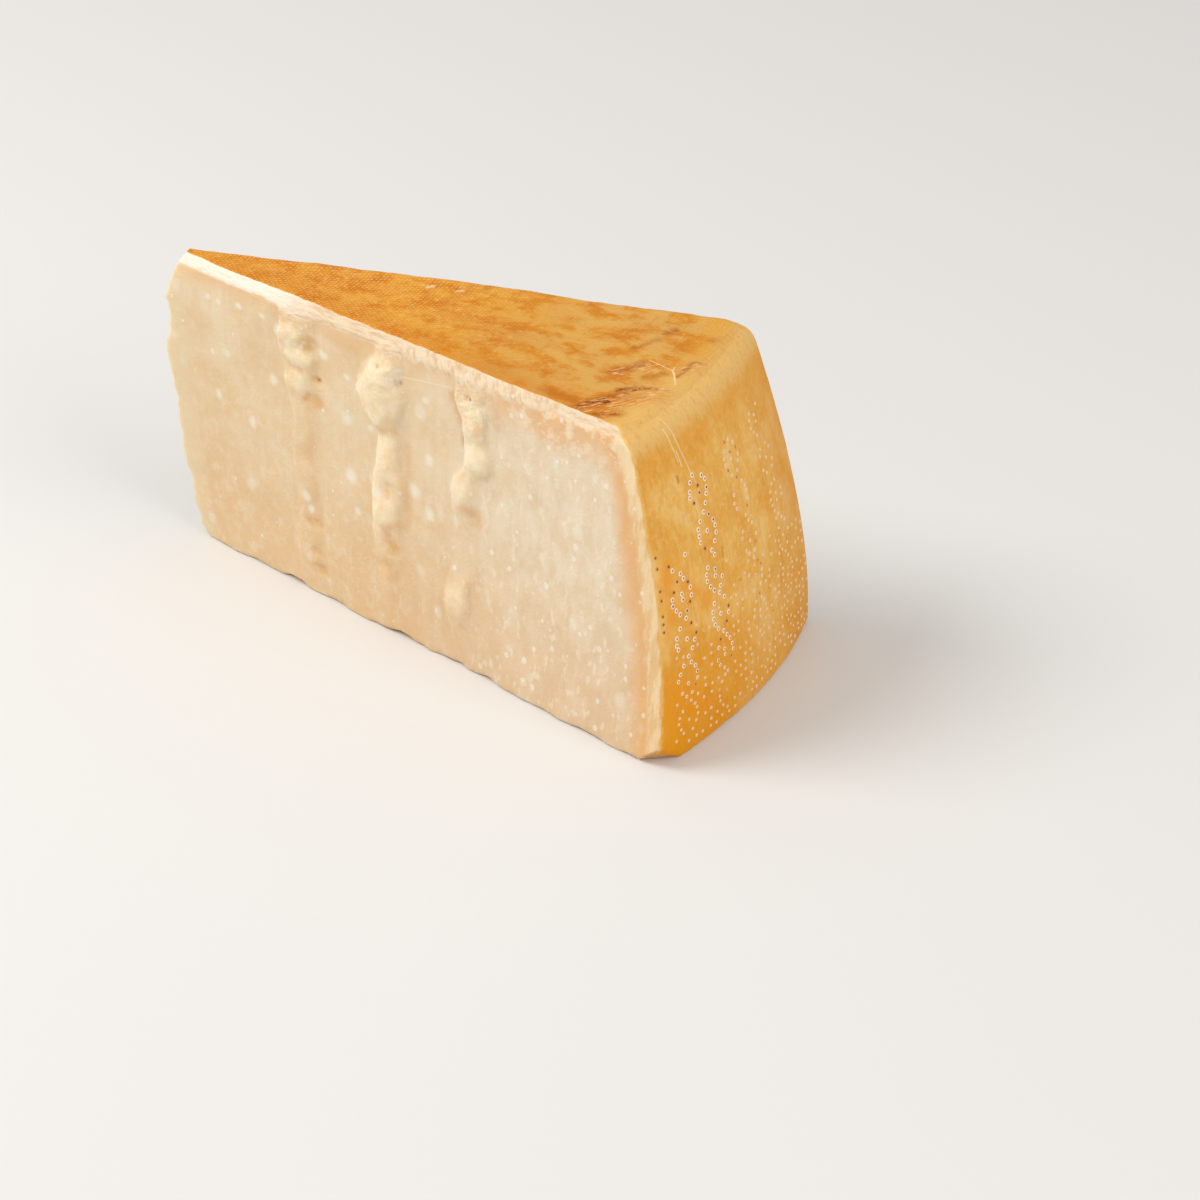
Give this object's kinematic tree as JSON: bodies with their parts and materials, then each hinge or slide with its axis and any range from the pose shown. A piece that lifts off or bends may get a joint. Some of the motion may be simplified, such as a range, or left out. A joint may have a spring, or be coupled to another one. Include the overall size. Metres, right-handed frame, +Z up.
{
  "type": "parmesan wedge",
  "caption": "Wedge of hard grating cheese with rind on its top and bulging heel, torn cut faces and a flat foot it stands on.",
  "frame": {"origin": "centre of the footprint's bounding box, on the surface the wedge stands on", "axes": "+X along the wedge from its nose to its heel, +Y across it from the leaning front cut to the back cut, +Z up from the foot to the top rind"},
  "size_m": [0.2205, 0.1018, 0.1079],
  "materials": {
    "hard_cheese": "straw-coloured hard cheese paste, dull and slightly waxy, with golden rind on the top and heel"
  },
  "bodies": {
    "root": {"parmesan_wedge": "hard_cheese"}
  },
  "joints": []
}
